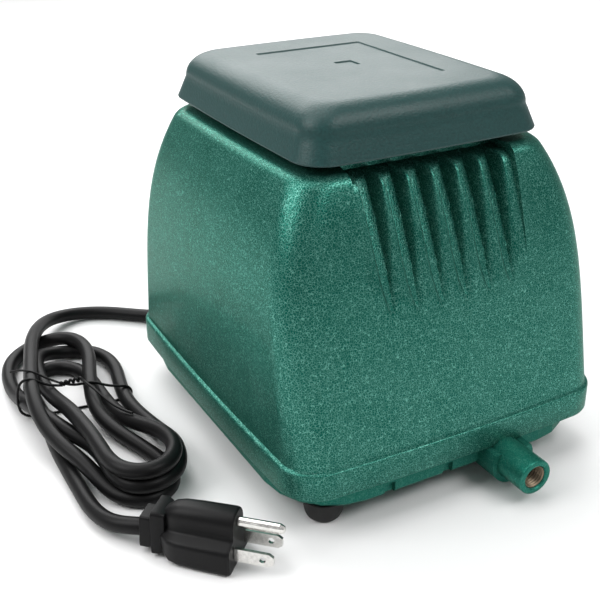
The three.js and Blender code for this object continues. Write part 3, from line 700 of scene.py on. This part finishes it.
def make_tie():
    """Thin wire tie: a loop round the hank, its twisted knot on top and the two loose ends."""
    loop = [
        (-140, 73, 17), (-146.5, 74, 17.8), (-151.5, 75, 21.5), (-156.5, 76, 24.7), (-161.5, 77, 22.5),
        (-163.4, 78, 14), (-163, 78, 5), (-159.5, 77, 0.8), (-146, 75, 0.8), (-130, 73, 0.8),
        (-114, 71, 0.8),
        (-105.5, 70, 0.8), (-103.6, 70, 4), (-105.5, 70, 8.4), (-111, 70, 9.6), (-118, 71, 11.5),
        (-124.5, 72, 15.8), (-130.5, 73, 14.8), (-136, 73, 15.8), (-140, 74, 18),
    ]
    twist = []
    for step in range(19):
        angle = step * 1.5
        twist.append((-141 + step * 0.6, 73 + 1.3 * math.cos(angle), 18 + 1.3 * math.sin(angle)))
    ends = [(-129, 71, 17), (-126, 62, 16.4), (-122, 52, 12), (-119, 42, 12.5), (-116, 34, 13.9)]
    other = [(-140, 73, 18), (-146, 78, 19.6), (-152, 83, 24.6), (-158, 87, 24.4), (-162, 92, 21.5)]
    return [
        curve_object("wire_tie", loop, TIE_RADIUS),
        curve_object("wire_tie_twist", twist + ends, TIE_RADIUS),
        curve_object("wire_tie_end", other, 0.6),
    ]


def add_cord():
    cord = curve_object("mains_cord", LEAD + FIRST_TURN + SECOND_TURN + THIRD_TURN + TAIL, CORD_RADIUS, 8)
    cord.data.bevel_resolution = 8
    finish_piece(cord, "pump", "cord_black", "cord_lead", "cord_hank", "cord_tail")
    plug = finish_piece(make_plug(), "pump", "cord_black", "plug_body")
    ties = make_tie()
    finish_piece(ties[0], "pump", "cord_black", "cord_tie")
    for tie in ties[1:]:
        finish_piece(tie, "pump", "cord_black")


# ---- camera and light ----

def add_camera():
    data = bpy.data.cameras.new("camera")
    data.lens = CAMERA_LENS
    data.sensor_width = 36
    camera = bpy.data.objects.new("camera", data)
    bpy.context.scene.collection.objects.link(camera)
    back = Vector((
        math.sin(CAMERA_TURN) * math.cos(CAMERA_LIFT),
        -math.cos(CAMERA_TURN) * math.cos(CAMERA_LIFT),
        math.sin(CAMERA_LIFT),
    ))
    turn = back.to_track_quat("Z", "Y") @ Quaternion((0, 0, 1), CAMERA_ROLL)
    camera.rotation_mode = "QUATERNION"
    camera.rotation_quaternion = turn
    camera.location = CAMERA_AT
    bpy.context.scene.camera = camera
    bpy.context.scene.view_settings.view_transform = "Standard"


def add_soft_box(name, place, size, power):
    data = bpy.data.lights.new(name, "AREA")
    data.shape = "RECTANGLE"
    data.size, data.size_y = size
    data.energy = power
    lamp = bpy.data.objects.new(name, data)
    lamp.location = place
    lamp.rotation_euler = (Vector(place) - Vector(AIM)).to_track_quat("Z", "Y").to_euler()
    bpy.context.scene.collection.objects.link(lamp)


def add_overhead():
    data = bpy.data.lights.new("overhead", "SUN")
    data.energy = OVERHEAD_STRENGTH
    data.angle = OVERHEAD_SPREAD
    lamp = bpy.data.objects.new("overhead", data)
    lamp.rotation_euler = OVERHEAD_TILT
    bpy.context.scene.collection.objects.link(lamp)


def add_studio():
    world = bpy.data.worlds.new("studio")
    world.use_nodes = True
    bpy.context.scene.world = world
    world.node_tree.nodes["Background"].inputs["Color"].default_value = (1, 1, 1, 1)
    world.node_tree.nodes["Background"].inputs["Strength"].default_value = WORLD_STRENGTH
    for box in SOFT_BOXES:
        add_soft_box(*box)
    add_overhead()
    floor_mesh = bpy.data.meshes.new("floor")
    corners = [(x * FLOOR_HALF, y * FLOOR_HALF, 0) for x, y in ((-1, -1), (1, -1), (1, 1), (-1, 1))]
    floor_mesh.from_pydata(corners, [], [(0, 1, 2, 3)])
    floor = bpy.data.objects.new("floor", floor_mesh)
    bpy.context.scene.collection.objects.link(floor)
    paper = Shader("floor_paper").set(Roughness=0.9)
    paper.link(paper.ramp(paper.noise(3), [(0.3, (0.80, 0.80, 0.80)), (0.7, (0.82, 0.82, 0.82))]),
               paper.surface.inputs["Base Color"])
    floor_mesh.materials.append(paper.material)


# ---- assembly ----

materials = make_materials()
for subpart in frame["record"]["subparts"]:
    cad_mesh = frame["nodes"][subpart["node"]].data
    cad_mesh.materials.clear()
    cad_mesh.materials.append(materials[subpart["material_slot"]])


def finish_piece(piece, body, slot, *nodes):
    """Give a piece its material and its body, and hide the CAD nodes that it stands for."""
    piece.data.materials.append(materials[slot])
    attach(piece, body)
    if nodes:
        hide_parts(*nodes)
    return piece


add_camera()
add_cord()
add_studio()
finish_piece(make_housing(), "pump", "hammer_green", "upper_housing")
finish_piece(make_cover(), "cover", "cover_plastic", "filter_cover")
finish_piece(make_outlet(), "pump", "outlet_green", "outlet_tube")
finish_piece(make_thread(), "pump", "brass", "outlet_thread")
for spot in ("front_left", "front_right", "back_left", "back_right"):
    finish_piece(make_foot(spot), "pump", "rubber", f"foot_{spot}")
